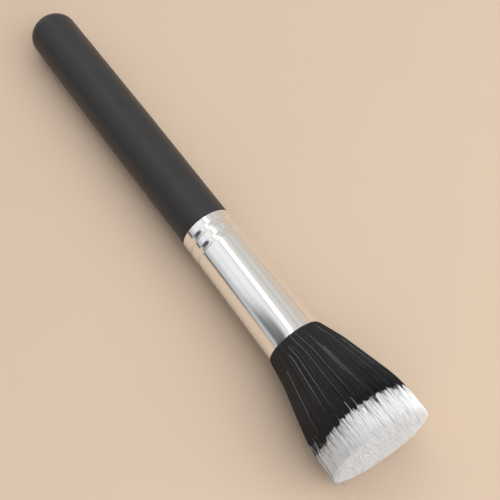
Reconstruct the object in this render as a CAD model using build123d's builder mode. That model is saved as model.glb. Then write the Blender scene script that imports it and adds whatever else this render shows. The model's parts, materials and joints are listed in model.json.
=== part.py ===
# Round stippling brush: a lacquered wooden handle, a crimped metal ferrule and a soft, flared
# tuft of black fibres with longer white ones, cut flat at the tip.
# Millimetres. +X runs from the handle's end to the tuft's tip, +Z is up. The brush lies on Z = 0
# on its handle's end and on the flattened underside of its tuft, centred over the origin.

from build123d import *
from math import atan2, cos, degrees, radians, sin, tan
import os

# --- driving dimensions: all lengths run along the brush's own axis ----------------------------

HANDLE_LENGTH = 96.0         # rounded end to the ferrule's edge
HANDLE_RADIUS = 8.0
HANDLE_END_RADIUS = 7.65     # where the rounded end begins
DOME_LENGTH = 6.5            # rounded end, a little flatter than a half ball
DOME_SHOULDER = 5.5          # its tighter curve, which blends into the shaft
GRIP_LENGTH = 40.0           # true cylinder next to the ferrule

FERRULE_LENGTH = 44.0
FERRULE_WALL = 0.4
FERRULE_RADIUS = 8.2         # stands a little proud of the handle
FERRULE_MOUTH_RADIUS = 8.6
FLARE_START = 16.0           # the ferrule is straight up to here, then widens to its mouth
LIP_ROUND = 0.15

FIRST_CRIMP = 3.4            # centre of the first crimp, from the ferrule's edge
CRIMP_PITCH = 4.0
CRIMP_COUNT = 2
CRIMP_WIDTH = 1.7
CRIMP_DEPTH = 0.65

TENON_LENGTH = 14.0
GLUE_LENGTH = 12.0
GLUE_FILM = 0.15             # between the tenon and the ferrule

PLUG_START = 16.0            # epoxy plug that holds the hair, from the ferrule's edge
PLUG_LENGTH = 12.0
PLUG_FLOOR = 3.0
KNOT_RADIUS = 6.6            # hair bundle where it sits in the plug
THREAD_RADIUS = 0.3
THREAD_TURNS = 5
THREAD_START = 4.0           # first turn, from the hair's root

HAIR_LENGTH = 37.0           # hair that shows beyond the ferrule's mouth
WHITE_LENGTH = 8.5           # of which the white tips
TUFT_RADIUS = 15.3           # at the flat-cut tip
LIP_SWELL = 1.0              # the hair spreads over the ferrule's lip within this distance
LIP_RADIUS = 9.3
MIDDLE_AT = 15.0             # distance past the mouth at which the hair has its middle radius
MIDDLE_RADIUS = 12.5
SHOULDER_AT = 27.0           # the hair stops spreading about here
SHOULDER_RADIUS = 15.0
WHITE_CORE_RADIUS = 2.5      # white fibres run down the middle of the tuft to the root
WHITE_CORE_END_RADIUS = 5.0
WHITE_CORE_FLARE = 4.0       # the core widens over this length before the colour changes
HAIR_CLEARANCE = 0.05        # between the hair and the ferrule's bore

LYING_ANGLE = 1.6            # degrees: the axis rises towards the tuft, which lies flattened

# --- places along the axis, from the handle's very end -----------------------------------------

MOUTH = HANDLE_LENGTH + FERRULE_LENGTH
TIP = MOUTH + HAIR_LENGTH
COLOUR_CHANGE = TIP - WHITE_LENGTH
FLARE_AT = HANDLE_LENGTH + FLARE_START
TENON_END = HANDLE_LENGTH + TENON_LENGTH
GLUE_END = HANDLE_LENGTH + GLUE_LENGTH
PLUG_AT = HANDLE_LENGTH + PLUG_START
PLUG_END = PLUG_AT + PLUG_LENGTH
ROOT_AT = PLUG_AT + PLUG_FLOOR
THREAD_AT = ROOT_AT + THREAD_START
THREAD_END = THREAD_AT + 2 * THREAD_RADIUS * THREAD_TURNS

BORE_RADIUS = FERRULE_RADIUS - FERRULE_WALL
TENON_RADIUS = BORE_RADIUS - GLUE_FILM
MOUTH_BORE_RADIUS = FERRULE_MOUTH_RADIUS - FERRULE_WALL
TIED_RADIUS = KNOT_RADIUS - THREAD_RADIUS

# --- the brush's axis, laid so that the brush touches the floor --------------------------------

# The rounded end is two arcs: a shoulder that leaves the shaft tangentially, and a crown across
# the axis whose radius makes it meet both the shoulder and the brush's very end.
shoulder_offset = HANDLE_END_RADIUS - DOME_SHOULDER
crown_radius = (DOME_LENGTH**2 + shoulder_offset**2 - DOME_SHOULDER**2) / (
    2 * (DOME_LENGTH - DOME_SHOULDER)
)
crown_angle = degrees(atan2(shoulder_offset, DOME_LENGTH - crown_radius))

tilt = radians(LYING_ANGLE)
# The handle touches the floor with its shoulder, so that sets the axis height there.
dome_axis_height = DOME_SHOULDER + shoulder_offset * cos(tilt)
tip_axis_height = dome_axis_height + (TIP - DOME_LENGTH) * sin(tilt)
# The box runs from the crown to the bottom of the tilted tip face.
crown_reach = crown_radius * (cos(tilt) - 1)
tip_reach = TIP * cos(tilt) + tip_axis_height * tan(tilt)

start = Vector(-(crown_reach + tip_reach) / 2, 0, dome_axis_height - DOME_LENGTH * sin(tilt))
along = Vector(cos(tilt), 0, sin(tilt))
brush_axis = Axis(start, along)
axis_plane = Plane(origin=start, x_dir=along, z_dir=(0, -1, 0))   # local x along, y outward
floor = Plane.XY


# --- shared profiles ---------------------------------------------------------------------------

def crimped_line(radius, end):
    """A line at one radius from the ferrule's edge to end, dipping at each crimp."""
    half = CRIMP_WIDTH / 2
    at = HANDLE_LENGTH
    for number in range(CRIMP_COUNT):
        centre = HANDLE_LENGTH + FIRST_CRIMP + number * CRIMP_PITCH
        Line((at, radius), (centre - half, radius))
        ThreePointArc(
            (centre - half, radius), (centre, radius - CRIMP_DEPTH), (centre + half, radius)
        )
        at = centre + half
    Line((at, radius), (end, radius))


def thread_turns():
    """Half circles side by side round the knot, one for each turn of thread."""
    for turn in range(THREAD_TURNS):
        begin = THREAD_AT + 2 * THREAD_RADIUS * turn
        ThreePointArc(
            (begin, KNOT_RADIUS),
            (begin + THREAD_RADIUS, KNOT_RADIUS + THREAD_RADIUS),
            (begin + 2 * THREAD_RADIUS, KNOT_RADIUS),
        )


def bore(distance):
    """The ferrule's inner radius on its flare, at a distance past its edge."""
    share = (distance - FLARE_START) / (FERRULE_LENGTH - FLARE_START)
    return BORE_RADIUS + share * (MOUTH_BORE_RADIUS - BORE_RADIUS)


def finish_piece(piece, name):
    """Label a finished piece and write it."""
    piece.part.label = name
    export_step(piece.part, f"parts/{name}.step")


os.makedirs("parts", exist_ok=True)

# --- handle: one turned piece of wood with a tenon that the ferrule is crimped on --------------

with BuildPart() as handle:
    with BuildSketch(axis_plane):
        with BuildLine():
            CenterArc((crown_radius, 0), crown_radius, 180, crown_angle - 180)
            CenterArc(
                (DOME_LENGTH, shoulder_offset), DOME_SHOULDER, crown_angle, 90 - crown_angle
            )
            Polyline(
                (DOME_LENGTH, HANDLE_END_RADIUS),
                (HANDLE_LENGTH - GRIP_LENGTH, HANDLE_RADIUS),
                (HANDLE_LENGTH, HANDLE_RADIUS),
                (HANDLE_LENGTH, TENON_RADIUS),
            )
            crimped_line(TENON_RADIUS, TENON_END)
            Polyline((TENON_END, TENON_RADIUS), (TENON_END, 0), (0, 0))
        make_face()
    revolve(axis=brush_axis)
finish_piece(handle, "handle")

# --- tenon adhesive: a film that follows the crimps between the tenon and the ferrule ----------

with BuildPart() as tenon_adhesive:
    with BuildSketch(axis_plane):
        with BuildLine():
            crimped_line(TENON_RADIUS, GLUE_END)
            Line((GLUE_END, TENON_RADIUS), (GLUE_END, BORE_RADIUS))
            crimped_line(BORE_RADIUS, GLUE_END)
            Line((HANDLE_LENGTH, BORE_RADIUS), (HANDLE_LENGTH, TENON_RADIUS))
        make_face()
    revolve(axis=brush_axis)
finish_piece(tenon_adhesive, "tenon_adhesive")

# --- ferrule: a thin drawn tube with two rolled crimps and a flared mouth ----------------------

with BuildPart() as ferrule:
    with BuildSketch(axis_plane):
        with BuildLine():
            crimped_line(FERRULE_RADIUS, FLARE_AT)
            Polyline(
                (FLARE_AT, FERRULE_RADIUS),
                (MOUTH, FERRULE_MOUTH_RADIUS),
                (MOUTH, MOUTH_BORE_RADIUS),
                (FLARE_AT, BORE_RADIUS),
            )
            crimped_line(BORE_RADIUS, FLARE_AT)
            Line((HANDLE_LENGTH, BORE_RADIUS), (HANDLE_LENGTH, FERRULE_RADIUS))
        make_face()
    revolve(axis=brush_axis)
    mouth_rims = ferrule.edges().filter_by(GeomType.CIRCLE).sort_by(brush_axis)[-2:]
    fillet(mouth_rims, radius=LIP_ROUND)
finish_piece(ferrule, "ferrule")

# --- root plug: set epoxy with a cup that holds the hair's root and the thread round it --------

with BuildPart() as root_plug:
    with BuildSketch(axis_plane):
        with BuildLine():
            Polyline(
                (THREAD_AT, KNOT_RADIUS),
                (ROOT_AT, KNOT_RADIUS),
                (ROOT_AT, 0),
                (PLUG_AT, 0),
                (PLUG_AT, bore(PLUG_START)),
                (PLUG_END, bore(PLUG_START + PLUG_LENGTH)),
                (PLUG_END, KNOT_RADIUS),
                (THREAD_END, KNOT_RADIUS),
            )
            thread_turns()
        make_face()
    revolve(axis=brush_axis)
finish_piece(root_plug, "root_plug")

# --- tie thread: its turns lie side by side round the hair's root ------------------------------

with BuildPart() as tie_thread:
    with BuildSketch(axis_plane):
        with BuildLine():
            thread_turns()
            Polyline(
                (THREAD_END, KNOT_RADIUS),
                (THREAD_END, TIED_RADIUS),
                (THREAD_AT, TIED_RADIUS),
                (THREAD_AT, KNOT_RADIUS),
            )
        make_face()
    revolve(axis=brush_axis)
finish_piece(tie_thread, "tie_thread")

# --- tuft: tied at the root, spread over the ferrule's lip, nearly straight at the tip ---------

LIP_AT = MOUTH + LIP_SWELL
hair_middle = (MOUTH + MIDDLE_AT, MIDDLE_RADIUS)
hair_shoulder = (MOUTH + SHOULDER_AT, SHOULDER_RADIUS)

with BuildPart() as whole_tuft:
    with BuildSketch(axis_plane):
        with BuildLine():
            Polyline(
                (TIP, TUFT_RADIUS),
                (TIP, 0),
                (ROOT_AT, 0),
                (ROOT_AT, KNOT_RADIUS),
                (THREAD_AT, KNOT_RADIUS),
                (THREAD_AT, TIED_RADIUS),
                (THREAD_END, TIED_RADIUS),
                (THREAD_END, KNOT_RADIUS),
                (PLUG_END, KNOT_RADIUS),
                (MOUTH, MOUTH_BORE_RADIUS - HAIR_CLEARANCE),
                (LIP_AT, LIP_RADIUS),
            )
            Spline((LIP_AT, LIP_RADIUS), hair_middle, hair_shoulder, (TIP, TUFT_RADIUS))
        make_face()
    revolve(axis=brush_axis)
    split(bisect_by=floor, keep=Keep.TOP)   # the underside lies flattened on the floor

with BuildPart() as white_share:
    with BuildSketch(axis_plane):
        with BuildLine():
            Polyline(
                (ROOT_AT, 0),
                (ROOT_AT, WHITE_CORE_RADIUS),
                (COLOUR_CHANGE - WHITE_CORE_FLARE, WHITE_CORE_RADIUS),
                (COLOUR_CHANGE, WHITE_CORE_END_RADIUS),
                (COLOUR_CHANGE, 2 * TUFT_RADIUS),
                (TIP, 2 * TUFT_RADIUS),
                (TIP, 0),
                close=True,
            )
        make_face()
    revolve(axis=brush_axis)

with BuildPart() as white_fibres:
    add(whole_tuft.part)
    add(white_share.part, mode=Mode.INTERSECT)
finish_piece(white_fibres, "white_fibres")

with BuildPart() as black_fibres:
    add(whole_tuft.part)
    add(white_share.part, mode=Mode.SUBTRACT)
finish_piece(black_fibres, "black_fibres")

# --- places that the mounts use ----------------------------------------------------------------

grip_middle = axis_plane.from_local_coords(Vector(HANDLE_LENGTH - GRIP_LENGTH / 2, 0, 0))
tip_centre = axis_plane.from_local_coords(Vector(TIP, 0, 0))
print("grip middle", grip_middle)
print("tip centre", tip_centre)
print("axis direction", along)
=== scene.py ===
"""Round stippling brush: the finish of its handle, ferrule and tuft, with a stage to see it on.

The brush's own frame starts at the handle's very end: x runs along the axis to the tip of the
tuft, y to the side and z outwards at the top. Everything is in metres.
"""

import json
import math

import bmesh
import bpy
from bpy.props import FloatProperty, FloatVectorProperty, IntProperty, PointerProperty
from bpy.types import Operator, Panel, PropertyGroup
from mathutils import Matrix, Vector


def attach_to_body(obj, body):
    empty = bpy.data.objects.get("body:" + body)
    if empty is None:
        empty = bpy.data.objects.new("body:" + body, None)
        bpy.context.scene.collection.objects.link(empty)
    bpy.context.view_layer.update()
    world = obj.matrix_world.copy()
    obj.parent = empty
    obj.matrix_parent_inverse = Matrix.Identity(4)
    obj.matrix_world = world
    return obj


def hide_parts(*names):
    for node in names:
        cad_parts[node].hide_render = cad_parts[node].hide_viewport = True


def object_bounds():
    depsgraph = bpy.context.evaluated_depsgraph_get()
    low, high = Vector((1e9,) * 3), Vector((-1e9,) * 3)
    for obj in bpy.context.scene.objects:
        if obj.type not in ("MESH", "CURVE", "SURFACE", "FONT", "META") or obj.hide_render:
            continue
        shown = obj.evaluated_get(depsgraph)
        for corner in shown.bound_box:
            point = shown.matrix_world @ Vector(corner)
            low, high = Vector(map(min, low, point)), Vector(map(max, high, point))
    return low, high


bl_info = {
    "name": "Round Stippling Brush",
    "version": (1, 0, 0),
    "blender": (4, 5, 0),
    "location": "3D View > Sidebar > Brush",
    "description": "Builds the visible surfaces of a round stippling brush round its CAD model",
    "category": "Object",
}

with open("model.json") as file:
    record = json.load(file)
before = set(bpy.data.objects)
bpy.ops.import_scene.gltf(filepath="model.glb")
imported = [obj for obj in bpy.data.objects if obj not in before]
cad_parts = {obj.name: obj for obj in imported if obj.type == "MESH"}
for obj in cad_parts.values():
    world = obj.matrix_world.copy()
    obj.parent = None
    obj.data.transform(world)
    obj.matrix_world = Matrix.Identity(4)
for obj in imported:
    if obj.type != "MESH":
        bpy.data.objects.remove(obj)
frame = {"nodes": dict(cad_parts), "record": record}
CAD_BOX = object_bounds()

BODY = "root"
MM = 0.001
TURN = 2 * math.pi

MOUNTS = {mount["name"]: mount for mount in frame["record"]["mounts"]}
TIP_CENTRE = Vector(MOUNTS["tip_face"]["pos_m"])
ALONG = Vector(MOUNTS["tip_face"]["axis"]).normalized()
TILT = math.asin(ALONG.z)
FLOOR_HEIGHT = CAD_BOX[0].z

# The straight grip ends at the ferrule, which fixes every other place along the axis.
GRIP_END = Vector(MOUNTS["grip"]["pos_m"]) + ALONG * MOUNTS["grip"]["dims"]["length_mm"] * MM / 2
FERRULE_TO_TIP = (TIP_CENTRE - GRIP_END).length


# --- what a user can change ----------------------------------------------------------------------


class HandleSettings(PropertyGroup):
    """Sizes and colour of the lacquered handle."""

    length: FloatProperty(
        name="Length", description="Rounded end to the ferrule's edge", default=96 * MM, unit="LENGTH"
    )
    radius: FloatProperty(
        name="Radius",
        description="Radius of the straight grip",
        default=MOUNTS["grip"]["dims"]["r_mm"] * MM,
        unit="LENGTH",
    )
    grip: FloatProperty(
        name="Grip Length",
        description="Straight stretch next to the ferrule",
        default=MOUNTS["grip"]["dims"]["length_mm"] * MM,
        unit="LENGTH",
    )
    end_radius: FloatProperty(
        name="End Radius", description="Where the rounded end begins", default=7.65 * MM, unit="LENGTH"
    )
    dome: FloatProperty(
        name="Rounded End", description="Length of the rounded end", default=6.5 * MM, unit="LENGTH"
    )
    shoulder: FloatProperty(
        name="Shoulder Radius",
        description="Curve that blends the rounded end into the shaft",
        default=5.5 * MM,
        unit="LENGTH",
    )
    tenon: FloatProperty(
        name="Tenon Length", description="Peg inside the ferrule", default=14 * MM, unit="LENGTH"
    )
    tenon_radius: FloatProperty(
        name="Tenon Radius", description="Peg inside the ferrule", default=7.65 * MM, unit="LENGTH"
    )
    colour: FloatVectorProperty(
        name="Lacquer", description="Colour of the lacquer", default=(0.0185, 0.018, 0.019),
        subtype="COLOR",
    )


class FerruleSettings(PropertyGroup):
    """Sizes and colour of the crimped metal ferrule."""

    length: FloatProperty(
        name="Length", description="Handle's edge to the mouth", default=44 * MM, unit="LENGTH"
    )
    wall: FloatProperty(
        name="Wall", description="Thickness of the metal", default=0.4 * MM, unit="LENGTH"
    )
    radius: FloatProperty(
        name="Radius", description="Outer radius next to the handle", default=8.2 * MM, unit="LENGTH"
    )
    mouth_radius: FloatProperty(
        name="Mouth Radius", description="Outer radius at the mouth", default=8.6 * MM, unit="LENGTH"
    )
    flare_start: FloatProperty(
        name="Flare Start", description="Where the tube starts to widen", default=16 * MM, unit="LENGTH"
    )
    first_crimp: FloatProperty(
        name="First Crimp", description="Its middle, from the edge", default=3.4 * MM, unit="LENGTH"
    )
    crimp_pitch: FloatProperty(
        name="Crimp Pitch", description="Between the crimps' middles", default=4 * MM, unit="LENGTH"
    )
    crimps: IntProperty(name="Crimps", description="Number of rolled crimps", default=2, min=0)
    crimp_width: FloatProperty(
        name="Crimp Width", description="Width of a crimp", default=2.0 * MM, unit="LENGTH"
    )
    crimp_depth: FloatProperty(
        name="Crimp Depth", description="Depth of a crimp", default=0.65 * MM, unit="LENGTH"
    )
    colour: FloatVectorProperty(
        name="Metal", description="Colour of the metal", default=(0.93, 0.925, 0.91), subtype="COLOR"
    )


class TuftSettings(PropertyGroup):
    """Sizes and colours of the tuft."""

    hair: FloatProperty(
        name="Hair Length", description="Hair beyond the ferrule", default=37 * MM, unit="LENGTH"
    )
    white: FloatProperty(
        name="White Tips", description="Length of the white tips", default=8.5 * MM, unit="LENGTH"
    )
    radius: FloatProperty(
        name="Tip Radius", description="Radius of the spread tuft", default=15.35 * MM, unit="LENGTH"
    )
    lip_radius: FloatProperty(
        name="Lip Radius",
        description="Radius to which the hair swells just past the ferrule's mouth",
        default=8.8 * MM,
        unit="LENGTH",
    )
    spread: FloatProperty(
        name="Spread", description="Growth of the radius along the hair", default=0.25, min=0.0
    )
    lean: FloatProperty(
        name="Lean", description="Sideways lean of the tip", default=0.8 * MM, unit="LENGTH"
    )
    clumps: IntProperty(
        name="Clumps", description="Locks into which the fibres gather", default=46, min=1
    )
    black: FloatVectorProperty(
        name="Black", description="Colour of the black fibres", default=(0.013, 0.013, 0.0145),
        subtype="COLOR",
    )
    white_colour: FloatVectorProperty(
        name="White", description="Colour of the white fibres", default=(0.94, 0.94, 0.95),
        subtype="COLOR",
    )


class StageSettings(PropertyGroup):
    """Floor, lights and camera."""

    floor_colour: FloatVectorProperty(
        name="Floor", description="Colour of the floor", default=(0.435, 0.335, 0.255), subtype="COLOR"
    )
    azimuth: FloatProperty(
        name="Azimuth",
        description="Direction of view about the vertical",
        default=math.radians(54.88),
        subtype="ANGLE",
    )
    elevation: FloatProperty(
        name="Elevation",
        description="Height of the camera above the horizon",
        default=math.radians(63.73),
        subtype="ANGLE",
    )
    distance: FloatProperty(
        name="Distance", description="Camera to the point it looks at", default=0.2912, unit="LENGTH"
    )
    aim_along: FloatProperty(
        name="Aim Along",
        description="The point looked at, from the handle's end",
        default=109 * MM,
        unit="LENGTH",
    )
    aim_side: FloatProperty(
        name="Aim Side", description="The point looked at, beside the axis", default=6.4 * MM,
        unit="LENGTH",
    )
    lens: FloatProperty(
        name="Lens", description="Focal length", default=72.0, subtype="DISTANCE_CAMERA"
    )


SETTINGS = {
    "brush_handle": HandleSettings,
    "brush_ferrule": FerruleSettings,
    "brush_tuft": TuftSettings,
    "brush_stage": StageSettings,
}


# --- the brush's frame ---------------------------------------------------------------------------


def axis_start():
    """The handle's very end on the axis, where the brush's own frame starts."""
    handle = bpy.context.scene.brush_handle
    return TIP_CENTRE - ALONG * (handle.length + FERRULE_TO_TIP)


def mouth_place():
    """The ferrule's mouth, along the axis."""
    scene = bpy.context.scene
    return scene.brush_handle.length + scene.brush_ferrule.length


def to_row(point):
    """A point of the brush's frame in the row's frame."""
    return axis_start() + Matrix.Rotation(-TILT, 3, "Y") @ Vector(point)


def smooth_step(low, high, value):
    """0 below low, 1 above high and an S-curve between them."""
    share = min(max((value - low) / (high - low), 0.0), 1.0)
    return share * share * (3 - 2 * share)


# --- nodes that read like formulas ---------------------------------------------------------------


class Field:
    """A node's output that takes part in ordinary arithmetic."""

    def __init__(self, socket):
        self.socket = socket
        self.tree = socket.id_data

    def maths(self, operation, *others):
        node = self.tree.nodes.new("ShaderNodeMath")
        node.operation = operation
        for place, value in zip(node.inputs, (self, *others)):
            plug(value, place)
        return Field(node.outputs[0])

    def __add__(self, other):
        return self.maths("ADD", other)

    def __sub__(self, other):
        return self.maths("SUBTRACT", other)

    def __rsub__(self, other):
        return self.maths("MULTIPLY_ADD", -1.0, other)

    def __mul__(self, other):
        return self.maths("MULTIPLY", other)

    def __truediv__(self, other):
        return self.maths("DIVIDE", other)

    __radd__ = __add__
    __rmul__ = __mul__

    def step(self, low, high):
        """An S-curve from 0 at low to 1 at high."""
        node = add_node(
            self.tree,
            "ShaderNodeMapRange",
            {"Value": self, "From Min": low, "From Max": high},
            interpolation_type="SMOOTHSTEP",
        )
        return Field(node.outputs["Result"])

    def band(self, rise, fall):
        """1 between two soft edges, each given as (begin, end), and 0 outside them."""
        return self.step(*rise) * (1.0 - self.step(*fall))


def plug(value, socket):
    """Link a field or socket to an input, or set the input's own value."""
    if isinstance(value, Field):
        value = value.socket
    if isinstance(value, bpy.types.NodeSocket):
        socket.id_data.links.new(value, socket)
    else:
        socket.default_value = value


def add_node(tree, kind, inputs=None, **settings):
    """A node with its settings made and its inputs plugged, by the names it shows."""
    node = tree.nodes.new(kind)
    for name, value in settings.items():
        setattr(node, name, value)
    for name, value in (inputs or {}).items():
        if isinstance(name, int):
            socket = node.inputs[name]
        else:
            socket = next(s for s in node.inputs if s.enabled and s.name == name)
        plug(value, socket)
    return node


def shown(node):
    """The output that a node shows with its present settings."""
    return Field(next(output for output in node.outputs if output.enabled))


def combine(tree, x, y, z):
    """A vector from three values."""
    return Field(add_node(tree, "ShaderNodeCombineXYZ", {"X": x, "Y": y, "Z": z}).outputs[0])


def separate(vector):
    """The three values of a vector."""
    node = add_node(vector.tree, "ShaderNodeSeparateXYZ", {"Vector": vector})
    return [Field(output) for output in node.outputs]


def noise(vector, scale, detail=2.0, roughness=0.5):
    """Soft noise from 0 to 1 over a vector."""
    node = add_node(
        vector.tree,
        "ShaderNodeTexNoise",
        {"Vector": vector, "Scale": scale, "Detail": detail, "Roughness": roughness},
    )
    return Field(node.outputs["Fac"])


# --- shader node groups --------------------------------------------------------------------------


def new_group(name, inputs, outputs):
    """An empty shader group and its input fields and output node."""
    tree = bpy.data.node_groups.new(name, "ShaderNodeTree")
    for label, (kind, value) in inputs.items():
        socket = tree.interface.new_socket(name=label, in_out="INPUT", socket_type=kind)
        if value is not None:
            socket.default_value = value
    for label in outputs:
        tree.interface.new_socket(name=label, in_out="OUTPUT", socket_type="NodeSocketFloat")
    source = tree.nodes.new("NodeGroupInput")
    sink = tree.nodes.new("NodeGroupOutput")
    fields = {label: Field(source.outputs[label]) for label in inputs}
    return tree, fields, sink


def mottle_group():
    """Uneven coats and fine specks, for lacquer, metal, glue and paper."""
    if "surface_mottle" in bpy.data.node_groups:
        return bpy.data.node_groups["surface_mottle"]
    tree, given, sink = new_group(
        "surface_mottle",
        {
            "Vector": ("NodeSocketVector", None),
            "Coarse": ("NodeSocketFloat", 150.0),
            "Fine": ("NodeSocketFloat", 4000.0),
            "Speck Share": ("NodeSocketFloat", 0.1),
        },
        ("Mottle", "Grain", "Specks"),
    )
    coarse = noise(given["Vector"], given["Coarse"], 4.0, 0.55)
    fine = noise(given["Vector"], given["Fine"], 2.0, 0.6)
    cells = add_node(
        tree,
        "ShaderNodeTexVoronoi",
        {"Vector": given["Vector"], "Scale": given["Fine"] * 0.12},
        feature="F1",
    )
    specks = 1.0 - Field(cells.outputs["Distance"]).step(0.0, given["Speck Share"])
    plug(coarse, sink.inputs["Mottle"])
    plug(fine, sink.inputs["Grain"])
    plug(specks, sink.inputs["Specks"])
    return tree


def lines_group():
    """Fine lines that run along the brush, as drawing and polishing leave them on metal; on the fibre
    beds they set painted shade in the streaks' grooves.
    """
    if "lengthwise_lines" in bpy.data.node_groups:
        return bpy.data.node_groups["lengthwise_lines"]
    tree, given, sink = new_group(
        "lengthwise_lines",
        {
            "Vector": ("NodeSocketVector", None),
            "Across": ("NodeSocketFloat", 12.0),
            "Along": ("NodeSocketFloat", 30.0),
        },
        ("Fine", "Broad"),
    )
    x, y, z = separate(given["Vector"])
    around = y.maths("ARCTAN2", z)
    # The sine and cosine close the pattern round the axis.
    ring = combine(
        tree,
        x * given["Along"],
        around.maths("SINE") * given["Across"],
        around.maths("COSINE") * given["Across"],
    )
    plug(noise(ring, 6.0, 5.0, 0.65), sink.inputs["Fine"])
    plug(noise(ring, 1.1, 2.0, 0.5), sink.inputs["Broad"])
    return tree


STRAND_SHADES = 24           # columns of the OFBake map, one for each shade of fibre


def strand_group():
    """Shade and dullness of a fibre, from its place in the OFBake map: u tells the strands apart."""
    if "strand_shade" in bpy.data.node_groups:
        return bpy.data.node_groups["strand_shade"]
    tree, given, sink = new_group(
        "strand_shade",
        {
            "Map": ("NodeSocketVector", None),
            "Root Shade": ("NodeSocketFloat", 0.8),
            "Tip Shade": ("NodeSocketFloat", 1.0),
            "Variation": ("NodeSocketFloat", 0.3),
        },
        ("Shade", "Strand"),
    )
    u, v, _ = separate(given["Map"])
    strand = add_node(
        tree,
        "ShaderNodeTexWhiteNoise",
        {"W": (u * STRAND_SHADES).maths("FLOOR")},
        noise_dimensions="1D",
    )
    strand = Field(strand.outputs["Value"])
    length = v * (given["Tip Shade"] - given["Root Shade"]) + given["Root Shade"]
    bands = noise(combine(tree, strand * 37.0, v * 5.0, 0.0), 1.0, 2.0)
    shade = length * (1.0 - given["Variation"] * (strand * 0.7 + bands * 0.3))
    plug(shade, sink.inputs["Shade"])
    plug(strand, sink.inputs["Strand"])
    return tree


def use_group(tree, group, inputs):
    """A group placed in a tree; returns its outputs as fields."""
    node = tree.nodes.new("ShaderNodeGroup")
    node.node_tree = group
    for name, value in inputs.items():
        plug(value, node.inputs[name])
    return {output.name: Field(output) for output in node.outputs}


def mottle(place, coarse, fine, specks):
    """The mottle's outputs over a place on the surface."""
    inputs = {"Vector": place, "Coarse": coarse, "Fine": fine, "Speck Share": specks}
    return use_group(place.tree, mottle_group(), inputs)


# --- materials -----------------------------------------------------------------------------------


def new_material(name):
    """A new material with its node tree and its Principled shader."""
    material = bpy.data.materials.new(name)
    material.use_nodes = True
    tree = material.node_tree
    return material, tree, tree.nodes["Principled BSDF"]


def brush_coordinates(tree):
    """The surface's place in the brush's own frame."""
    place = tree.nodes.new("ShaderNodeTexCoord")
    turned = add_node(
        tree,
        "ShaderNodeMapping",
        {"Vector": place.outputs["Object"], "Location": axis_start(), "Rotation": (0, -TILT, 0)},
        vector_type="TEXTURE",
    )
    return Field(turned.outputs["Vector"])


def mix_colours(factor, first, second):
    """First where the factor is 0 and second where it is 1."""
    node = add_node(
        factor.tree,
        "ShaderNodeMix",
        {"Factor": factor, "A": first, "B": second},
        data_type="RGBA",
    )
    return shown(node)


def with_alpha(colour, gain=1.0):
    """A colour socket's four values."""
    return (*(channel * gain for channel in colour), 1.0)


def add_bump(tree, shader, height, distance, strength=1.0):
    """Relief on a shader's normal."""
    node = add_node(
        tree, "ShaderNodeBump", {"Height": height, "Distance": distance, "Strength": strength}
    )
    plug(node.outputs["Normal"], shader.inputs["Normal"])


def paint(shader, tone, roughness):
    """A shader's colour and roughness."""
    plug(tone, shader.inputs["Base Color"])
    plug(roughness, shader.inputs["Roughness"])


def lacquer_material(colour):
    """Satin black lacquer: a soft sheen, an uneven coat and faint turning marks."""
    material, tree, shader = new_material("black_lacquer")
    place = brush_coordinates(tree)
    coat = mottle(place, 160.0, 5200.0, 0.05)
    x, y, z = separate(place)
    turning = noise(combine(tree, x * 2600.0, y * 20.0, z * 20.0), 1.0, 3.0)
    tone = mix_colours(coat["Mottle"], with_alpha(colour, 0.8), with_alpha(colour, 1.25))
    worn = mix_colours(coat["Specks"] * 0.35, tone, with_alpha(colour, 3.5))
    paint(shader, worn, coat["Mottle"] * 0.08 + coat["Grain"] * 0.08 + 0.36)
    shader.inputs["Specular IOR Level"].default_value = 0.36
    add_bump(tree, shader, coat["Grain"] * 0.5 + turning * 0.3, 0.012 * MM)
    return material


def metal_material(colour):
    """Bright drawn metal: lengthwise lines and light handling marks."""
    material, tree, shader = new_material("polished_metal")
    place = brush_coordinates(tree)
    lines = use_group(tree, lines_group(), {"Vector": place, "Across": 14.0, "Along": 26.0})
    marks = mottle(place, 110.0, 3000.0, 0.08)
    shader.inputs["Metallic"].default_value = 1.0
    tone = mix_colours(lines["Broad"], with_alpha(colour, 0.94), with_alpha(colour, 1.03))
    rough = lines["Fine"] * 0.09 + marks["Mottle"] * 0.05 + marks["Specks"] * 0.08 + 0.02
    paint(shader, tone, rough)
    add_bump(tree, shader, lines["Fine"] * 0.5 + lines["Broad"], 0.006 * MM, 0.5)
    return material


def resin_material(name, colour, depth):
    """Set glue or epoxy: glossy, clouded and with small bubbles."""
    material, tree, shader = new_material(name)
    place = brush_coordinates(tree)
    clouds = mottle(place, 300.0, 5000.0, 0.2)
    tone = mix_colours(clouds["Mottle"], with_alpha(colour, depth), with_alpha(colour, 1.1))
    tone = mix_colours(clouds["Specks"] * 0.6, tone, with_alpha(colour, 1.4))
    paint(shader, tone, clouds["Mottle"] * 0.15 + 0.12)
    add_bump(tree, shader, clouds["Specks"], 0.05 * MM)
    return material


def thread_material():
    """Cotton thread: slanting twist, painted darker in its grooves as painted shade between the plies,
    and fuzz.
    """
    material, tree, shader = new_material("cotton_thread")
    place = brush_coordinates(tree)
    x, y, z = separate(place)
    around = y.maths("ARCTAN2", z)
    twist = (around * 60.0 + x * 9000.0).maths("SINE") * 0.5 + 0.5
    fuzz = noise(place, 6000.0, 3.0)
    # Painted shade: the tone follows the twist's relief and is darker in the grooves where the bump is
    # low.
    tone = mix_colours(twist * 0.7 + fuzz * 0.3, (0.55, 0.52, 0.45, 1), (0.87, 0.85, 0.79, 1))
    paint(shader, tone, fuzz * 0.2 + 0.75)
    add_bump(tree, shader, twist, 0.08 * MM)
    return material


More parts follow.
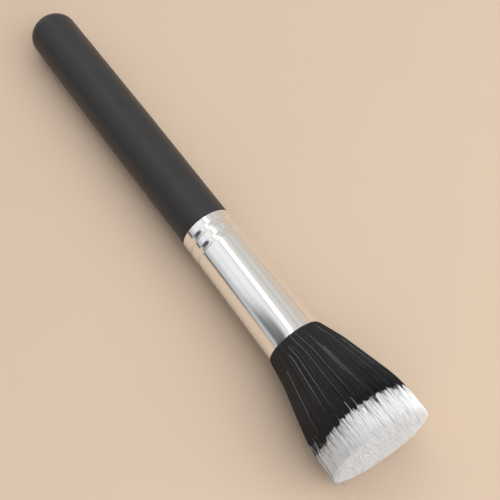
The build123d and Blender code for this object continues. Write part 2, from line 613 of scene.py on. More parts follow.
def fibre_material(name, colour, root_shade, tip_shade, variation, gloss, glow=0.0):
    """Loose fibres, each with its own shade from the OFBake map; glow lets light through them."""
    material, tree, shader = new_material(name)
    place = tree.nodes.new("ShaderNodeUVMap")
    place.uv_map = "OFBake"
    strand = use_group(
        tree,
        strand_group(),
        {
            "Map": place.outputs["UV"],
            "Root Shade": root_shade,
            "Tip Shade": tip_shade,
            "Variation": variation,
        },
    )
    tone = mix_colours(strand["Shade"], (0, 0, 0, 1), with_alpha(colour))
    paint(shader, tone, strand["Strand"] * 0.12 + gloss)
    shader.inputs["Subsurface Weight"].default_value = glow
    shader.inputs["Subsurface Radius"].default_value = (1.0, 1.0, 1.0)
    shader.inputs["Subsurface Scale"].default_value = 2 * MM
    return material


def bed_material(name, colour, gain):
    """The packed fibres behind the loose ones: fine streaks along the tuft, darker in their grooves as
    painted shade between the fibres.
    """
    material, tree, shader = new_material(name)
    place = brush_coordinates(tree)
    lines = use_group(tree, lines_group(), {"Vector": place, "Across": 30.0, "Along": 40.0})
    # Painted shade: the streaks' low grooves take the colour times gain, as shade between the packed
    # fibres.
    tone = mix_colours(lines["Fine"], with_alpha(colour, gain), with_alpha(colour))
    paint(shader, tone, lines["Fine"] * 0.2 + 0.55)
    add_bump(tree, shader, lines["Fine"], 0.15 * MM)
    return material


# --- turned pieces -------------------------------------------------------------------------------


def arc(centre, radius, start, end, steps):
    """Points on an arc in the outline's plane, angles in radians."""
    angles = [start + (end - start) * step / steps for step in range(steps + 1)]
    return [
        (centre[0] + radius * math.cos(angle), centre[1] + radius * math.sin(angle))
        for angle in angles
    ]


def divide(outline, longest):
    """An outline with no straight run longer than the given length."""
    points = [outline[0]]
    for before, after in zip(outline, outline[1:]):
        steps = max(1, math.ceil(math.dist(before, after) / longest))
        for step in range(1, steps + 1):
            share = step / steps
            points.append(tuple(a + (b - a) * share for a, b in zip(before, after)))
    return points


ON_AXIS = 1e-7               # an outline's point nearer to the axis than this is a pole
CREASE = math.radians(40)    # edges sharper than this stay sharp


def turn_piece(name, outline, material, segments, closed=False, shape=None):
    """A piece turned from an outline of (along, radius) points, in the row's frame.

    An outline that starts or ends on the axis gets a pole there; a closed one is a ring.
    """
    mesh_data = bmesh.new()
    rings = []
    for along, radius in outline:
        if radius < ON_AXIS:
            rings.append([mesh_data.verts.new((along, 0, 0))])
            continue
        ring = []
        for number in range(segments):
            angle = TURN * number / segments
            point = (along, radius * math.sin(angle), radius * math.cos(angle))
            ring.append(mesh_data.verts.new(point))
        rings.append(ring)
    following_rings = rings[1:] + rings[:1] if closed else rings[1:]
    for first, second in zip(rings, following_rings):
        for number in range(segments):
            following = (number + 1) % segments
            corners = [
                first[number % len(first)],
                first[following % len(first)],
                second[following % len(second)],
                second[number % len(second)],
            ]
            mesh_data.faces.new(list(dict.fromkeys(corners)))
    bmesh.ops.recalc_face_normals(mesh_data, faces=mesh_data.faces)
    for vertex in mesh_data.verts:
        vertex.co = to_row(shape(vertex.co) if shape else vertex.co)
    mesh = bpy.data.meshes.new(name)
    mesh_data.to_mesh(mesh)
    mesh_data.free()
    mesh.shade_smooth()
    mesh.set_sharp_from_angle(angle=CREASE)
    mesh.materials.append(material)
    piece = bpy.data.objects.new(name, mesh)
    bpy.context.scene.collection.objects.link(piece)
    return piece


def attach(piece, node):
    """The piece rides on the brush and stands for a CAD node, which it hides."""
    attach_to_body(piece, BODY)
    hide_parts(node)


def crimp_dip(distance):
    """How far a rolled crimp presses the wall in, at a distance past the ferrule's edge."""
    ferrule = bpy.context.scene.brush_ferrule
    dip = 0.0
    for number in range(ferrule.crimps):
        centre = ferrule.first_crimp + number * ferrule.crimp_pitch
        share = abs(distance - centre) / (ferrule.crimp_width / 2)
        if share < 1:
            dip += ferrule.crimp_depth * (0.5 + 0.5 * math.cos(math.pi * share)) ** 0.8
    return dip


def crimped_run(radius, begin, end, step=0.08 * MM):
    """Outline points at a radius, dipping at the crimps, between distances past the edge."""
    handle = bpy.context.scene.brush_handle
    count = math.ceil((end - begin) / step)
    places = [begin + (end - begin) * number / count for number in range(count + 1)]
    return [(handle.length + place, radius - crimp_dip(place)) for place in places]


class BRUSH_OT_handle(Operator):
    """Turn the lacquered handle with its tenon"""

    bl_idname = "brush.handle"
    bl_label = "Handle"

    def execute(self, context):
        handle = context.scene.brush_handle
        offset = handle.end_radius - handle.shoulder
        crown = (handle.dome**2 + offset**2 - handle.shoulder**2) / (
            2 * (handle.dome - handle.shoulder)
        )
        meeting = math.atan2(offset, handle.dome - crown)
        edge = 0.12 * MM
        outline = arc((crown, 0), crown, math.pi, meeting, 24)
        outline[0] = (0.0, 0.0)
        outline += arc((handle.dome, offset), handle.shoulder, meeting, math.pi / 2, 24)[1:]
        outline += divide(
            [
                outline[-1],
                (handle.length - handle.grip, handle.radius),
                (handle.length - edge, handle.radius),
            ],
            2.0 * MM,
        )[1:]
        rim = (handle.length - edge, handle.radius - edge)
        outline += arc(rim, edge, math.pi / 2, 0, 4)[1:]
        outline.append((handle.length, handle.tenon_radius))
        outline += crimped_run(handle.tenon_radius, 0.0, handle.tenon, 0.25 * MM)[1:]
        outline.append((handle.length + handle.tenon, 0.0))
        piece = turn_piece("handle_lacquered", outline, lacquer_material(handle.colour), 160)
        attach(piece, "handle")
        return {"FINISHED"}


class BRUSH_OT_ferrule(Operator):
    """Turn the thin metal ferrule with its crimps, flare and rounded lip"""

    bl_idname = "brush.ferrule"
    bl_label = "Ferrule"

    def execute(self, context):
        handle = context.scene.brush_handle
        ferrule = context.scene.brush_ferrule
        crimped_end = ferrule.first_crimp + ferrule.crimps * ferrule.crimp_pitch
        edge = 0.14 * MM
        mouth = handle.length + ferrule.length

        def flare(distance):
            """Growth of the radius on the way to the mouth, without a kink where it starts."""
            run = ferrule.length - ferrule.flare_start
            slope = (ferrule.mouth_radius - ferrule.radius) / run
            blend = 4 * MM
            past = distance - ferrule.flare_start
            return slope * (past + math.hypot(past, blend)) / 2

        def wall(radius, begin, end, longest):
            """Outline points along one face of the tube, crimped and then flared."""
            points = crimped_run(radius, begin, crimped_end)
            count = math.ceil((end - crimped_end) / longest)
            for number in range(1, count + 1):
                place = crimped_end + (end - crimped_end) * number / count
                points.append((handle.length + place, radius))
            gain = (ferrule.mouth_radius - ferrule.radius) / flare(ferrule.length)
            return [
                (along, height + flare(along - handle.length) * gain) for along, height in points
            ]

        outer = wall(ferrule.radius, edge, ferrule.length - edge, 0.8 * MM)
        inner = wall(ferrule.radius - ferrule.wall, edge, ferrule.length - edge, 2.0 * MM)
        front, back = mouth - edge, handle.length + edge
        lip = arc((front, outer[-1][1] - edge), edge, math.pi / 2, 0, 5)
        lip += arc((front, inner[-1][1] + edge), edge, 0, -math.pi / 2, 5)
        rear = arc((back, inner[0][1] + edge), edge, -math.pi / 2, -math.pi, 3)
        rear += arc((back, outer[0][1] - edge), edge, math.pi, math.pi / 2, 5)
        outline = outer[:-1] + lip + inner[-2::-1][:-1] + rear[:-1]
        piece = turn_piece(
            "ferrule_polished", outline, metal_material(ferrule.colour), 256, closed=True
        )
        attach(piece, "ferrule")
        return {"FINISHED"}


class BRUSH_OT_inner_pieces(Operator):
    """Finish the glue, the epoxy plug and the tie thread inside the ferrule"""

    bl_idname = "brush.inner_pieces"
    bl_label = "Inner Pieces"

    def execute(self, context):
        finishes = {
            "tenon_adhesive": resin_material("clear_adhesive", (0.72, 0.66, 0.48), 0.8),
            "root_plug": resin_material("epoxy", (0.62, 0.5, 0.28), 0.7),
            "tie_thread": thread_material(),
        }
        for name, material in finishes.items():
            node = frame["nodes"][name]
            node.data.materials.clear()
            node.data.materials.append(material)
        return {"FINISHED"}


# --- the tuft ------------------------------------------------------------------------------------

BORE_SHARE = 0.98            # of the ferrule's bore, filled by the hair at the mouth
LIP_RUN = (0.0, 0.5 * MM)    # the hair swells over the lip between these places
LEAN_RUN = (0.0, 8.0 * MM)   # and leans to the side between these
SPREAD_BLEND = 1.8 * MM      # softness with which the tuft stops spreading
SQUASH_TOP = 6.0 * MM        # hair lower than this, above the floor, gives way where it lies
SQUASH_GAP = 0.1 * MM        # but keeps this clear of the floor
SQUASH_WIDEN = 0.10 / (3 * MM)    # and widens by this share for each metre it is pressed
END_ROUND = 1.5 * MM         # softens the edge of the packed fibres' flat end
CLUMP_SEED = 7.0             # for where the locks' middles lie
LENGTH_SEED = 507.0          # for how far the locks reach
RAGGED_SCALE = 11.0          # of the noise round the tuft by which single fibres differ
LOCK_JAG = 0.7               # weights of the jag: from lock to lock,
LOCK_POINT = 0.6             # from a lock's middle to its edges,
FIBRE_JAG = 2.6              # from fibre to fibre,
SIDE_JAG = 1.7               # from the top to the sides,
JAG_SHIFT = 0.1              # and for all alike
POINT_CROWDING = 1.5         # a strand's points crowd towards its root, where the tuft swells
RELIEF_SPREAD = 15.0         # radius of the flat map of the tip from which the relief is read
RELIEF_SCALE = 0.55          # of that map's noise
TIP_SLANT = 0.3              # share of the tip's rounding by which one side reaches further


def tuft_radius(past):
    """The tuft's outer radius at a distance past the mouth."""
    scene = bpy.context.scene
    tuft = scene.brush_tuft
    bore = (scene.brush_ferrule.mouth_radius - scene.brush_ferrule.wall) * BORE_SHARE
    free = tuft.lip_radius + tuft.spread * max(past, 0.0)
    overlap = max(SPREAD_BLEND - abs(free - tuft.radius), 0.0) / SPREAD_BLEND
    free = min(free, tuft.radius) - overlap**3 * SPREAD_BLEND / 6
    return bore + (free - bore) * smooth_step(*LIP_RUN, past)


def lie_down(place):
    """A point of the tuft, in the brush's frame, after the tuft leans and gives way to the floor."""
    tuft = bpy.context.scene.brush_tuft
    x, y, z = place
    past = x - mouth_place()
    y += tuft.lean * smooth_step(*LEAN_RUN, past)
    rise = axis_start().z - FLOOR_HEIGHT + x * math.sin(TILT)
    lowest = rise - tuft_radius(past)
    depth = min(max((SQUASH_TOP - (rise + z)) / (SQUASH_TOP - lowest), 0.0), 1.0)
    press = max(SQUASH_GAP - lowest, 0.0)
    return Vector((x, y * (1 + SQUASH_WIDEN * depth * press), z + depth * press))


STRAND_INPUTS = {
    "Count": ("NodeSocketInt", 1000),
    "Points": ("NodeSocketInt", 8),
    "Seed": ("NodeSocketInt", 0),
    "Inner Share": ("NodeSocketFloat", 0.9),
    "Outer Share": ("NodeSocketFloat", 1.0),
    "Start": ("NodeSocketFloat", 0.0),
    "Start Spread": ("NodeSocketFloat", 0.0),
    "End": ("NodeSocketFloat", 0.03),
    "End Spread": ("NodeSocketFloat", 0.0),
    "Start Jag": ("NodeSocketFloat", 0.0),
    "End Jag": ("NodeSocketFloat", 0.0),
    "Relief": ("NodeSocketFloat", 0.0),
    "Dome": ("NodeSocketFloat", 0.0),
    "Clump Pull": ("NodeSocketFloat", 0.5),
    "Wander": ("NodeSocketFloat", 0.0),
    "Waves": ("NodeSocketFloat", 2.2),
    "Stray": ("NodeSocketFloat", 0.0),
    "Thickness": ("NodeSocketFloat", 0.00007),
    "Fine End": ("NodeSocketFloat", 0.4),
    "Side": ("NodeSocketFloat", 0.0),
    "Sector": ("NodeSocketFloat", TURN),
    "Material": ("NodeSocketMaterial", None),
}


def strand_tree():
    """Geometry nodes that grow one bundle of fibres inside the tuft's outline."""
    scene = bpy.context.scene
    tuft = scene.brush_tuft
    tree = bpy.data.node_groups.new("fibre_strands", "GeometryNodeTree")
    for name, (kind, value) in STRAND_INPUTS.items():
        socket = tree.interface.new_socket(name=name, in_out="INPUT", socket_type=kind)
        if value is not None:
            socket.default_value = value
    tree.interface.new_socket(name="Geometry", in_out="OUTPUT", socket_type="NodeSocketGeometry")
    source = tree.nodes.new("NodeGroupInput")
    sink = tree.nodes.new("NodeGroupOutput")
    given = {name: Field(source.outputs[name]) for name in STRAND_INPUTS}

    line = add_node(tree, "GeometryNodeCurvePrimitiveLine")
    points = add_node(
        tree, "GeometryNodeResampleCurve", {"Curve": line.outputs[0], "Count": given["Points"]}
    )
    parameter = tree.nodes.new("GeometryNodeSplineParameter")
    geometry, along = capture(tree, points.outputs[0], parameter.outputs["Factor"], "POINT", "FLOAT")
    copies = add_node(
        tree,
        "GeometryNodeDuplicateElements",
        {"Geometry": geometry, "Amount": given["Count"]},
        domain="SPLINE",
    )
    geometry, number = capture(
        tree, copies.outputs["Geometry"], copies.outputs["Duplicate Index"], "CURVE", "INT"
    )

    def chance(salt):
        """A random share of 1 for each strand."""
        node = add_node(
            tree,
            "FunctionNodeRandomValue",
            {"Min": 0.0, "Max": 1.0, "ID": number, "Seed": given["Seed"] * 32.0 + salt},
            data_type="FLOAT",
        )
        return shown(node)

    def cell_chance(cell, salt):
        """A random share of 1 for each lock of fibres."""
        node = add_node(
            tree, "ShaderNodeTexWhiteNoise", {"W": cell + salt}, noise_dimensions="1D"
        )
        return Field(node.outputs["Value"])

    # Where the strand stands: its direction from the axis and its share of the outline's radius.
    angle = given["Side"] + (chance(0) - 0.5) * given["Sector"]
    inner = given["Inner Share"] * given["Inner Share"]
    outer = given["Outer Share"] * given["Outer Share"]
    share = (inner + (outer - inner) * chance(1)).maths("SQRT")

    # Neighbouring strands gather in locks of uneven width.
    lock = angle * (tuft.clumps / TURN)
    cell = lock.maths("FLOOR")
    off_centre = lock - cell - 0.5 - (cell_chance(cell, CLUMP_SEED) - 0.5) * 0.5
    ragged = shown(
        add_node(
            tree,
            "ShaderNodeTexNoise",
            {"W": angle, "Scale": RAGGED_SCALE, "Detail": 4.0, "Roughness": 0.75},
            noise_dimensions="1D",
        )
    )
    # The colours meet further along or back by lock, by fibre and towards the sides.
    jag = (cell_chance(cell, LENGTH_SEED) - 0.5) * LOCK_JAG
    jag = jag - off_centre.maths("ABSOLUTE") * LOCK_POINT
    jag = jag + JAG_SHIFT + (ragged - 0.5) * FIBRE_JAG
    jag = jag + angle.maths("SINE") * angle.maths("SINE") * SIDE_JAG

    begin = given["Start"] - given["Start Spread"] * chance(2) + given["Start Jag"] * jag
    end = given["End"] + given["End Spread"] * (chance(3) * 2.0 - 1.0) + given["End Jag"] * jag
    # Tips that stand together reach equally far, those at the rim less far, and one side further.
    aside = share * angle.maths("SINE")
    upward = share * angle.maths("COSINE")
    spot = combine(tree, aside * RELIEF_SPREAD, upward * RELIEF_SPREAD, 0.0)
    end = end + (noise(spot, RELIEF_SCALE, 3.0, 0.7) - 0.5) * given["Relief"]
    end = end - (share * share * share - aside * TIP_SLANT) * given["Dome"]
    past = begin + along.maths("POWER", POINT_CROWDING) * (end - begin)
    reach = (past / tuft.hair).maths("MAXIMUM", 0.0)
    reach = reach * reach
    angle = angle - off_centre * given["Clump Pull"] * reach * (TURN / tuft.clumps)

    # The outline's radius there, swelling over the lip and then spreading to its full width.
    bore = (scene.brush_ferrule.mouth_radius - scene.brush_ferrule.wall) * BORE_SHARE
    free = past.maths("MAXIMUM", 0.0) * tuft.spread + tuft.lip_radius
    free = free.maths("SMOOTH_MIN", tuft.radius, SPREAD_BLEND)
    outline = bore + (free - bore) * past.step(*LIP_RUN)

    # Each fibre wanders a little, and strays from the tuft towards its end.
    drift = combine(tree, along * given["Waves"], chance(4) * 91.0, chance(5) * 57.0)
    drift = add_node(tree, "ShaderNodeTexNoise", {"Vector": drift, "Scale": 1.0, "Detail": 1.0})
    sideways, outwards, _ = separate(Field(drift.outputs["Color"]))
    loose = past.step(0.0, tuft.hair) * given["Wander"]
    radius = share * outline + (outwards - 0.5) * loose
    radius = radius + given["Stray"] * chance(6) * along * along * along
    angle = angle + (sideways - 0.5) * loose / outline

    x = past + mouth_place()
    y = radius * angle.maths("SINE") + past.step(*LEAN_RUN) * tuft.lean
    z = radius * angle.maths("COSINE")

    # Fibres that would reach below the floor give way upwards and to the sides.
    rise = x * math.sin(TILT) + (axis_start().z - FLOOR_HEIGHT)
    lowest = rise - outline
    depth = (SQUASH_TOP - (rise + z)) / (SQUASH_TOP - lowest)
    depth = depth.maths("MAXIMUM", 0.0).maths("MINIMUM", 1.0)
    press = (SQUASH_GAP - lowest).maths("MAXIMUM", 0.0)
    z = (z + depth * press).maths("MAXIMUM", SQUASH_GAP - rise)
    y = y * (1.0 + depth * press * SQUASH_WIDEN)

    turned = add_node(
        tree,
        "ShaderNodeVectorRotate",
        {"Vector": combine(tree, x, y, z), "Angle": -TILT},
        rotation_type="Y_AXIS",
    )
    placed = add_node(
        tree, "ShaderNodeVectorMath", {0: turned.outputs[0], 1: axis_start()}, operation="ADD"
    )
    bent = add_node(
        tree, "GeometryNodeSetPosition", {"Geometry": geometry, "Position": placed.outputs[0]}
    )
    fine = 1.0 - along.step(0.7, 1.0) * (1.0 - given["Fine End"])
    thickness = given["Thickness"] * fine * (chance(7) * 0.4 + 0.8)

    ring = add_node(tree, "GeometryNodeCurvePrimitiveCircle", {"Resolution": 3, "Radius": 1.0})
    profile, around = capture(tree, ring.outputs[0], parameter.outputs["Factor"], "POINT", "FLOAT")
    skin = add_node(
        tree,
        "GeometryNodeCurveToMesh",
        {
            "Curve": bent.outputs[0],
            "Profile Curve": profile,
            "Scale": thickness,
            "Fill Caps": True,
        },
    )
    column = (chance(8) * STRAND_SHADES).maths("FLOOR")
    u = (column + around * 0.7 + 0.15) / STRAND_SHADES
    stored = add_node(
        tree,
        "GeometryNodeStoreNamedAttribute",
        {
            "Geometry": skin.outputs[0],
            "Name": "OFBake",
            "Value": combine(tree, u, along * 0.96 + 0.02, 0.0),
        },
        data_type="FLOAT2",
        domain="CORNER",
    )
    smooth = add_node(tree, "GeometryNodeSetShadeSmooth", {"Geometry": stored.outputs[0]})
    real = add_node(tree, "GeometryNodeRealizeInstances", {"Geometry": smooth.outputs[0]})
    finished = add_node(
        tree,
        "GeometryNodeSetMaterial",
        {"Geometry": real.outputs[0], "Material": given["Material"]},
    )
    plug(finished.outputs[0], sink.inputs["Geometry"])
    return tree


def capture(tree, geometry, value, domain, kind):
    """Keep a value on a geometry's elements; returns the geometry and the kept field."""
    node = tree.nodes.new("GeometryNodeCaptureAttribute")
    node.domain = domain
    node.capture_items.new(kind, "kept")
    plug(geometry, node.inputs["Geometry"])
    plug(value, node.inputs["kept"])
    return node.outputs["Geometry"], Field(node.outputs["kept"])


def grow_strands(name, node, material, inputs):
    """One bundle of fibres as a plain mesh that stands for a CAD node."""
    tree = bpy.data.node_groups.get("fibre_strands") or strand_tree()
    identifiers = {
        item.name: item.identifier for item in tree.interface.items_tree if item.in_out == "INPUT"
    }
    piece = bpy.data.objects.new(name, bpy.data.meshes.new(name))
    bpy.context.scene.collection.objects.link(piece)
    modifier = piece.modifiers.new("strands", "NODES")
    modifier.node_group = tree
    inputs = {"Material": material, **inputs}
    for label, (_, value) in STRAND_INPUTS.items():
        modifier[identifiers[label]] = inputs.get(label, value)
    depsgraph = bpy.context.evaluated_depsgraph_get()
    mesh = bpy.data.meshes.new_from_object(
        piece.evaluated_get(depsgraph), preserve_all_data_layers=True, depsgraph=depsgraph
    )
    if not mesh.polygons or "OFBake" not in mesh.uv_layers:
        raise RuntimeError(f"{name} came out empty or without its map")
    piece.modifiers.remove(modifier)
    blank = piece.data
    mesh.name = name
    piece.data = mesh
    bpy.data.meshes.remove(blank)
    attach(piece, node)


def fibre_bed(name, node, material, begin, end, share):
    """The closed body of packed fibres behind the loose ones."""
    count = 40
    last = end - END_ROUND
    places = [begin + (last - begin) * step / count for step in range(count + 1)]
    mouth = mouth_place()
    outline = [(mouth + begin, 0.0)]
    outline += [(mouth + past, share * tuft_radius(past)) for past in places]
    rim = outline[-1][1]
    outline[-1:] = arc(
        (mouth + end - END_ROUND, rim - END_ROUND), END_ROUND, math.pi / 2, 0, 8
    )
    outline.append((mouth + end, 0.0))
    piece = turn_piece(name, divide(outline, 2.5 * MM), material, 96, shape=lie_down)
    attach(piece, node)


class BRUSH_OT_black_fibres(Operator):
    """Grow the black fibres from the ferrule to their uneven ends"""

    bl_idname = "brush.black_fibres"
    bl_label = "Black Fibres"

    def execute(self, context):
        tuft = context.scene.brush_tuft
        change = tuft.hair - tuft.white
        # The bed's streak grooves are painted half as dark: painted shade between the black fibres.
        bed = bed_material("black_bed", tuft.black, 0.5)
        fibre_bed("black_fibre_bed", "black_fibres", bed, -8 * MM, change + 0.4 * MM, 0.93)
        material = fibre_material("black_fibre", tuft.black, 0.9, 1.3, 0.7, 0.3)
        for number, letter in enumerate("abc"):
            grow_strands(
                f"black_fibres_{letter}",
                "black_fibres",
                material,
                {
                    "Count": 4300,
                    "Points": 8,
                    "Seed": 1 + number,
                    "Inner Share": 0.93,
                    "Outer Share": 1.0,
                    "Start": -1.1 * MM,
                    "End": change + 1.7 * MM,
                    "End Spread": 1.4 * MM,
                    "End Jag": 1.1 * MM,
                    "Clump Pull": 0.25,
                    "Wander": 0.5 * MM,
                    "Thickness": 0.07 * MM,
                    "Fine End": 0.25,
                },
            )
        grow_strands(
            "black_fibres_fine",
            "black_fibres",
            material,
            {
                "Count": 520,
                "Points": 8,
                "Seed": 5,
                "Inner Share": 0.985,
                "Outer Share": 1.003,
                "Start": change - 8 * MM,
                "End": change + 2.4 * MM,
                "End Spread": 2.4 * MM,
                "End Jag": 1.0 * MM,
                "Clump Pull": 0.5,
                "Wander": 0.3 * MM,
                "Thickness": 0.042 * MM,
                "Fine End": 0.2,
            },
        )
        return {"FINISHED"}


class BRUSH_OT_white_fibres(Operator):
    """Grow the white tips, from between the black ends to the flat-cut tip"""

    bl_idname = "brush.white_fibres"
    bl_label = "White Fibres"

    def execute(self, context):
        tuft = context.scene.brush_tuft
        change = tuft.hair - tuft.white
        # The white bed's streak grooves are painted slightly darker: painted shade between the white
        # fibres.
        bed = bed_material("white_bed", tuft.white_colour, 0.97)
        bed_end = tuft.hair - 2.6 * MM
        fibre_bed("white_fibre_bed", "white_fibres", bed, change - 4 * MM, bed_end, 0.935)
        material = fibre_material("white_fibre", tuft.white_colour, 0.98, 1.04, 0.1, 0.42, glow=0.55)
        for number, letter in enumerate("ab"):
            grow_strands(
                f"white_fibres_{letter}",
                "white_fibres",
                material,
                {
                    "Count": 5200,
                    "Points": 6,
                    "Seed": 11 + number,
                    "Inner Share": 0.945,
                    "Outer Share": 1.0,
                    "Start": change + 1.8 * MM,
                    "Start Spread": 2.8 * MM,
                    "Start Jag": 1.1 * MM,
                    "End": tuft.hair + 0.6 * MM,
                    "End Spread": 1.1 * MM,
                    "Relief": 1.2 * MM,
                    "Dome": 1.4 * MM,
                    "Clump Pull": 0.05,
                    "Wander": 0.3 * MM,
                    "Thickness": 0.08 * MM,
                    "Fine End": 0.4,
                },
            )
        grow_strands(
            "white_fibre_tips",
            "white_fibres",
            material,
            {
                "Count": 13500,
                "Points": 3,
                "Seed": 21,
                "Inner Share": 0.0,
                "Outer Share": 0.95,
                "Start": tuft.hair - 5.5 * MM,
                "End": tuft.hair + 0.1 * MM,
                "End Spread": 2.0 * MM,
                "Relief": 0.8 * MM,
                "Dome": 1.4 * MM,
                "Clump Pull": 0.0,
                "Wander": 0.4 * MM,
                "Thickness": 0.09 * MM,
                "Fine End": 0.6,
            },
        )
        return {"FINISHED"}


class BRUSH_OT_long_fibres(Operator):
    """Grow the few white fibres that lie on the black ones, and the strays at the tip's side"""

    bl_idname = "brush.long_fibres"
    bl_label = "Long White Fibres"

    def execute(self, context):
        tuft = context.scene.brush_tuft
        material = fibre_material("long_white_fibre", tuft.white_colour, 0.9, 0.6, 0.8, 0.35)
        grow_strands(
            "white_fibres_long",
            "white_fibres",
            material,
            {
                "Count": 46,
                "Points": 26,
                "Seed": 33,
                "Inner Share": 1.008,
                "Outer Share": 1.02,
                "Start": 9 * MM,
                "Start Spread": 10 * MM,
                "End": tuft.hair - tuft.white - 4 * MM,
                "End Spread": 8 * MM,
                "Clump Pull": 0.2,
                "Wander": 0.8 * MM,
                "Waves": 1.8,
                "Thickness": 0.023 * MM,
                "Fine End": 0.4,
            },
        )
        grow_strands(
            "white_fibres_stray",
            "white_fibres",
            material,
            {
                "Count": 60,
                "Points": 10,
                "Seed": 41,
                "Inner Share": 0.97,
                "Outer Share": 1.0,
                "Start": tuft.hair - tuft.white - 1.0 * MM,
                "Start Spread": 2.0 * MM,
                "End": tuft.hair + 0.6 * MM,
                "End Spread": 0.9 * MM,
                "Clump Pull": 0.0,
                "Wander": 1.5 * MM,
                "Stray": 0.9 * MM,
                "Thickness": 0.055 * MM,
                "Fine End": 0.4,
                "Side": math.radians(-105),
                "Sector": math.radians(80),
            },
        )
        return {"FINISHED"}


# --- stage ---------------------------------------------------------------------------------------


# Soft windows: (name, place from near the ferrule's middle, sides, watts, colour).
WINDOWS = (
    ("side_window", (-0.10, 0.50, 1.05), (1.7, 1.4), 11.5, (0.95, 0.98, 1.0)),
    ("front_window", (0.70, 0.30, 0.55), (1.1, 0.9), 8.6, (0.95, 0.98, 1.0)),
    ("low_fill", (0.75, -0.55, 0.45), (1.0, 0.8), 2.3, (1.0, 0.98, 0.95)),
)


def add_light(name, place, target, size, power, colour):
    """A soft rectangular light that faces a point, and that polished metal doesn't mirror."""
    light = bpy.data.lights.new(name, "AREA")
    light.shape = "RECTANGLE"
    light.size, light.size_y = size
    light.energy = power
    light.color = colour
    lamp = bpy.data.objects.new(name, light)
    lamp.location = place
    lamp.rotation_euler = (target - place).to_track_quat("-Z", "Y").to_euler()
    lamp.visible_camera = False
    lamp.visible_glossy = False
    bpy.context.scene.collection.objects.link(lamp)


# The surroundings' brightness by the angle across the brush, from one side's floor level over
# the top to the other's: (angle in degrees, colour).
SURROUNDINGS = (
    (-90, (0.05, 0.05, 0.05)),
    (-87, (0.25, 0.25, 0.25)),
    (-84, (0.52, 0.53, 0.53)),
    (-74, (0.60, 0.61, 0.62)),
    (-62, (0.84, 0.85, 0.86)),
    (-50, (0.90, 0.91, 0.92)),
    (-47, (0.76, 0.77, 0.78)),
    (-44, (0.90, 0.91, 0.92)),
    (-30, (0.94, 0.95, 0.96)),
    (-18, (0.90, 0.91, 0.92)),
    (-12, (0.72, 0.73, 0.74)),
    (-8, (0.72, 0.73, 0.74)),
    (-4, (1.75, 1.75, 1.75)),
    (3, (1.75, 1.75, 1.75)),
    (10, (0.80, 0.79, 0.77)),
    (34, (0.60, 0.58, 0.55)),
    (46, (0.70, 0.69, 0.67)),
    (56, (0.60, 0.56, 0.52)),
    (72, (0.68, 0.58, 0.49)),
    (90, (0.64, 0.54, 0.45)),
)


# The bands of the ramp shift sideways by SKEW with the direction along the brush, between these.
SKEW_FAR, SKEW_NEAR, SKEW_ZERO, SKEW = -0.45, -0.3, 0.37, 0.4
# Darker patches, which the metal mirrors: (share of darkness, soft edges across the brush, soft
# edges along it). Across runs from 0 at floor level on the -Y side to 1 on the +Y side, and along
# from -1 behind the handle to 1 ahead of the tip.
DARK_TONE = (0.10, 0.105, 0.11, 1.0)
DARK_PATCHES = (
    (0.95, ((0.055, 0.145), (0.30, 0.43)), ((-0.396, -0.362), (0.0, 0.2))),
    (1.0, ((0.03, 0.07), (0.24, 0.32)), ((0.12, 0.25), (0.93, 0.99))),
)


def make_surroundings():
    """Soft pale surroundings, bright overhead, warmer and darker towards +Y, with dark patches."""
    world = bpy.data.worlds.new("surroundings")
    bpy.context.scene.world = world
    world.use_nodes = True
    tree = world.node_tree
    direction = tree.nodes.new("ShaderNodeTexCoord")
    x, y, z = separate(Field(direction.outputs["Generated"]))
    skew = (x.maths("MINIMUM", SKEW_NEAR).maths("MAXIMUM", SKEW_FAR) + SKEW_ZERO) * SKEW
    across = y.maths("ARCTAN2", z) / math.pi + 0.5 + skew
    ramp = add_node(tree, "ShaderNodeValToRGB", {"Fac": across})
    stops = ramp.color_ramp.elements
    while len(stops) < len(SURROUNDINGS):
        stops.new(0.5)
    for stop, (angle, colour) in zip(stops, SURROUNDINGS):
        stop.position = angle / 180 + 0.5
        stop.color = (*colour, 1.0)
    dark = 0.0
    for share, sides, ahead in DARK_PATCHES:
        patch = across.band(*sides) * x.band(*ahead) * share
        dark = patch.maths("MAXIMUM", dark)
    tone = mix_colours(dark, ramp.outputs["Color"], DARK_TONE)
    background = tree.nodes["Background"]
    plug(tone, background.inputs["Color"])
    background.inputs["Strength"].default_value = 1.0


def floor_material(colour):
    """Matt, slightly mottled paper."""
    material, tree, shader = new_material("floor_paper")
    place = Field(tree.nodes.new("ShaderNodeTexCoord").outputs["Object"])
    paper = mottle(place, 12.0, 1500.0, 0.02)
    tone = mix_colours(paper["Mottle"], with_alpha(colour, 0.97), with_alpha(colour, 1.03))
    plug(tone, shader.inputs["Base Color"])
    shader.inputs["Roughness"].default_value = 0.9
    shader.inputs["Specular IOR Level"].default_value = 0.1
    return material


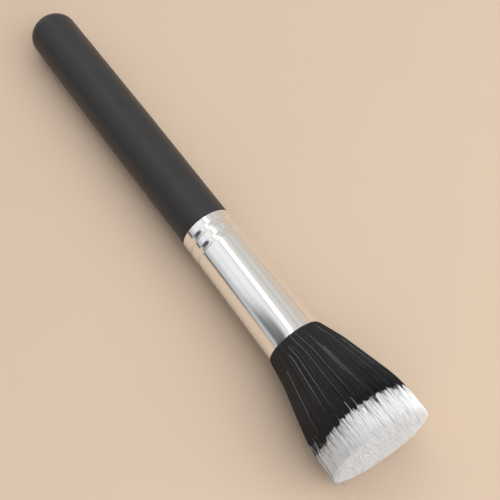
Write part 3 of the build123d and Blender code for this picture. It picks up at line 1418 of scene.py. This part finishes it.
class BRUSH_OT_stage(Operator):
    """Set out the floor, the soft lights and the camera"""

    bl_idname = "brush.stage"
    bl_label = "Stage"

    def execute(self, context):
        stage = context.scene.brush_stage
        half = 6.0
        corners = [(-half, -half), (half, -half), (half, half), (-half, half)]
        mesh = bpy.data.meshes.new("floor")
        mesh.from_pydata([(x, y, FLOOR_HEIGHT) for x, y in corners], [], [(0, 1, 2, 3)])
        mesh.materials.append(floor_material(stage.floor_colour))
        floor = bpy.data.objects.new("floor", mesh)
        context.scene.collection.objects.link(floor)

        make_surroundings()
        middle = to_row((mouth_place() - 20 * MM, 0, 0))
        for name, offset, size, power, colour in WINDOWS:
            add_light(name, middle + Vector(offset), middle, size, power, colour)

        camera = bpy.data.objects.new("camera", bpy.data.cameras.new("camera"))
        context.scene.collection.objects.link(camera)
        aim = to_row((stage.aim_along, stage.aim_side, 0))
        back = Vector(
            (
                math.sin(stage.azimuth) * math.cos(stage.elevation),
                -math.cos(stage.azimuth) * math.cos(stage.elevation),
                math.sin(stage.elevation),
            )
        )
        camera.location = aim + back * stage.distance
        camera.rotation_euler = (-back).to_track_quat("-Z", "Y").to_euler()
        camera.data.lens = stage.lens
        camera.data.sensor_width = 36.0
        camera.data.clip_start = 0.01
        bpy.context.scene.camera = camera
        bpy.context.scene.view_settings.view_transform = "Standard"
        return {"FINISHED"}


# --- add-on --------------------------------------------------------------------------------------

OPERATORS = (
    BRUSH_OT_handle,
    BRUSH_OT_ferrule,
    BRUSH_OT_inner_pieces,
    BRUSH_OT_black_fibres,
    BRUSH_OT_white_fibres,
    BRUSH_OT_long_fibres,
    BRUSH_OT_stage,
)


class BRUSH_PT_panel(Panel):
    """The brush's pieces and their sizes."""

    bl_idname = "BRUSH_PT_panel"
    bl_label = "Stippling Brush"
    bl_space_type = "VIEW_3D"
    bl_region_type = "UI"
    bl_category = "Brush"

    def draw(self, context):
        for operator in OPERATORS:
            self.layout.operator(operator.bl_idname)
        for name in SETTINGS:
            box = self.layout.box()
            box.label(text=name.replace("_", " ").capitalize())
            settings = getattr(context.scene, name)
            for label in settings.__annotations__:
                box.prop(settings, label)


def register():
    for settings in SETTINGS.values():
        bpy.utils.register_class(settings)
    for name, settings in SETTINGS.items():
        setattr(bpy.types.Scene, name, PointerProperty(type=settings))
    for cls in (*OPERATORS, BRUSH_PT_panel):
        bpy.utils.register_class(cls)


def unregister():
    for cls in (BRUSH_PT_panel, *reversed(OPERATORS)):
        bpy.utils.unregister_class(cls)
    for name in SETTINGS:
        delattr(bpy.types.Scene, name)
    for settings in SETTINGS.values():
        bpy.utils.unregister_class(settings)


def main():
    register()
    bpy.ops.brush.handle()
    bpy.ops.brush.ferrule()
    bpy.ops.brush.inner_pieces()
    bpy.ops.brush.black_fibres()
    bpy.ops.brush.white_fibres()
    bpy.ops.brush.long_fibres()
    bpy.ops.brush.stage()


if __name__ == "__main__":
    main()
